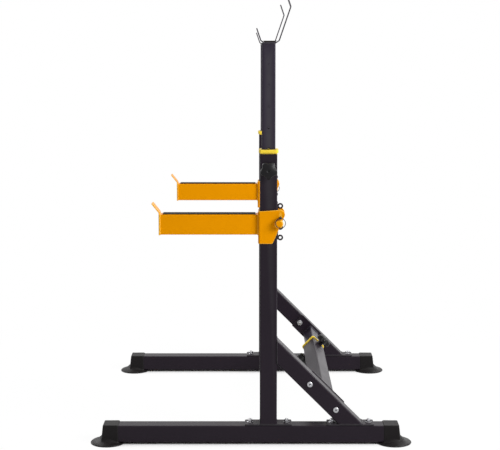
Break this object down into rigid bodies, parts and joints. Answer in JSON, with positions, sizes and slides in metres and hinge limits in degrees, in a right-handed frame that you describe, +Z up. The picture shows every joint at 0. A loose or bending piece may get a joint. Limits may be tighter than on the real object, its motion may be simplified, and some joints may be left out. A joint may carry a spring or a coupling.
{
  "type": "power rack",
  "caption": "Free-standing squat rack of paired frames with sliding posts, bar cradles, spotter arms and a width-adjusting crossbar.",
  "frame": {"origin": "on the floor, in the middle of the four feet", "axes": "+Z up, +Y to the rear, where the braces are, +X to the right when looking to the rear, along the crossbar"},
  "size_m": [1.123, 1.137, 1.5738],
  "materials": {
    "black_paint": "satin black powder coat",
    "post_paint": "satin black powder coat, a little lighter",
    "amber_paint": "amber yellow powder coat",
    "bush_plastic": "lemon yellow moulded plastic",
    "foot_plastic": "black moulded plastic",
    "knob_plastic": "black moulded plastic with a slight shine",
    "rubber": "black rubber",
    "pin_steel": "blackened steel",
    "zinc": "bright zinc plate"
  },
  "bodies": {
    "right_frame": {"base_tube_right": "black_paint", "front_foot_right": "foot_plastic", "rear_foot_right": "foot_plastic", "upright_flange_right": "black_paint", "upright_tube_right": "black_paint", "upright_bush_right": "bush_plastic", "eye_rail_right": "black_paint", "brace_flange_right": "black_paint", "brace_right": "black_paint", "cross_plate_right": "black_paint", "base_bolt_1_right": "zinc", "base_bolt_2_right": "zinc", "base_bolt_3_right": "zinc", "base_bolt_4_right": "zinc", "upper_cross_bolt_right": "zinc", "lower_cross_bolt_right": "zinc", "crossbar_outer": "black_paint", "crossbar_bush": "bush_plastic"},
    "left_frame": {"base_tube_left": "black_paint", "front_foot_left": "foot_plastic", "rear_foot_left": "foot_plastic", "upright_flange_left": "black_paint", "upright_tube_left": "black_paint", "upright_bush_left": "bush_plastic", "eye_rail_left": "black_paint", "brace_flange_left": "black_paint", "brace_left": "black_paint", "cross_plate_left": "black_paint", "base_bolt_1_left": "zinc", "base_bolt_2_left": "zinc", "base_bolt_3_left": "zinc", "base_bolt_4_left": "zinc", "upper_cross_bolt_left": "zinc", "lower_cross_bolt_left": "zinc", "crossbar_inner": "post_paint"},
    "right_post": {"post_right": "post_paint", "cradle_right": "post_paint", "cradle_pad_right": "rubber"},
    "right_post_pin": {"post_pin_right": "pin_steel"},
    "right_post_knob": {"post_knob_right": "knob_plastic"},
    "right_spotter": {"spotter_hook_right": "amber_paint", "spotter_arm_right": "amber_paint", "arm_pad_right": "rubber"},
    "right_ring_pin": {"ring_pin_right": "pin_steel"},
    "right_pull_ring": {"pull_ring_right": "pin_steel"},
    "left_post": {"post_left": "post_paint", "cradle_left": "post_paint", "cradle_pad_left": "rubber"},
    "left_post_pin": {"post_pin_left": "pin_steel"},
    "left_post_knob": {"post_knob_left": "knob_plastic"},
    "left_spotter": {"spotter_hook_left": "amber_paint", "spotter_arm_left": "amber_paint", "arm_pad_left": "rubber"},
    "left_ring_pin": {"ring_pin_left": "pin_steel"},
    "left_pull_ring": {"pull_ring_left": "pin_steel"},
    "upper_cross_pin": {"cross_pin_upper": "pin_steel"},
    "upper_cross_knob": {"cross_knob_upper": "knob_plastic"},
    "lower_cross_pin": {"cross_pin_lower": "pin_steel"},
    "lower_cross_knob": {"cross_knob_lower": "knob_plastic"}
  },
  "joints": [
    {"name": "width_slide", "type": "slide", "parent": "right_frame", "child": "left_frame", "axis": [1, 0, 0], "range_m": [-0.15, 0.2]},
    {"name": "right_post_slide", "type": "slide", "parent": "right_frame", "child": "right_post", "axis": [0, 0, 1], "range_m": [-0.363, 0.2178]},
    {"name": "right_post_pin_pull", "type": "slide", "parent": "right_frame", "child": "right_post_pin", "axis": [1, 0, 0], "range_m": [0, 0.01], "stiffness_N_per_m": 1200, "springref_m": -0.01},
    {"name": "right_post_knob_turn", "type": "hinge", "parent": "right_post_pin", "child": "right_post_knob", "pos_m": [0.489, 0.061, 0.9736], "axis": [1, 0, 0], "continuous": true},
    {"name": "right_spotter_slide", "type": "slide", "parent": "right_frame", "child": "right_spotter", "axis": [0, 0, 1], "range_m": [-0.074, 0.037]},
    {"name": "right_ring_pin_pull", "type": "slide", "parent": "right_spotter", "child": "right_ring_pin", "axis": [1, 0, 0], "range_m": [0, 0.025]},
    {"name": "right_ring_swing", "type": "hinge", "parent": "right_ring_pin", "child": "right_pull_ring", "pos_m": [0.5406, 0.102, 0.808], "axis": [0, -1, 0], "range_deg": [0, 100]},
    {"name": "left_post_slide", "type": "slide", "parent": "left_frame", "child": "left_post", "axis": [0, 0, 1], "range_m": [-0.363, 0.2178]},
    {"name": "left_post_pin_pull", "type": "slide", "parent": "left_frame", "child": "left_post_pin", "axis": [-1, 0, 0], "range_m": [0, 0.01], "stiffness_N_per_m": 1200, "springref_m": -0.01},
    {"name": "left_post_knob_turn", "type": "hinge", "parent": "left_post_pin", "child": "left_post_knob", "pos_m": [-0.489, 0.061, 0.9736], "axis": [-1, 0, 0], "continuous": true},
    {"name": "left_spotter_slide", "type": "slide", "parent": "left_frame", "child": "left_spotter", "axis": [0, 0, 1], "range_m": [-0.074, 0.037]},
    {"name": "left_ring_pin_pull", "type": "slide", "parent": "left_spotter", "child": "left_ring_pin", "axis": [-1, 0, 0], "range_m": [0, 0.025]},
    {"name": "left_ring_swing", "type": "hinge", "parent": "left_ring_pin", "child": "left_pull_ring", "pos_m": [-0.5406, 0.102, 0.808], "axis": [0, 1, 0], "range_deg": [0, 100]},
    {"name": "upper_cross_pin_pull", "type": "slide", "parent": "right_frame", "child": "upper_cross_pin", "axis": [0, 0.7071, 0.7071], "range_m": [0, 0.01], "stiffness_N_per_m": 1200, "springref_m": -0.01},
    {"name": "upper_cross_knob_turn", "type": "hinge", "parent": "upper_cross_pin", "child": "upper_cross_knob", "pos_m": [-0.1666, 0.25271, 0.17159], "axis": [0, 0.7071, 0.7071], "continuous": true},
    {"name": "lower_cross_pin_screw", "type": "slide", "parent": "right_frame", "child": "lower_cross_pin", "axis": [0, -0.7071, -0.7071], "range_m": [0, 0.0045]},
    {"name": "lower_cross_knob_turn", "type": "hinge", "parent": "lower_cross_pin", "child": "lower_cross_knob", "pos_m": [-0.1666, 0.25271, 0.17159], "axis": [0, -0.7071, -0.7071], "range_deg": [0, 1080]}
  ],
  "couplings": [
    {"joint": "lower_cross_pin_screw", "follows": "lower_cross_knob_turn", "m_per_rad": 0.00023873}
  ]
}
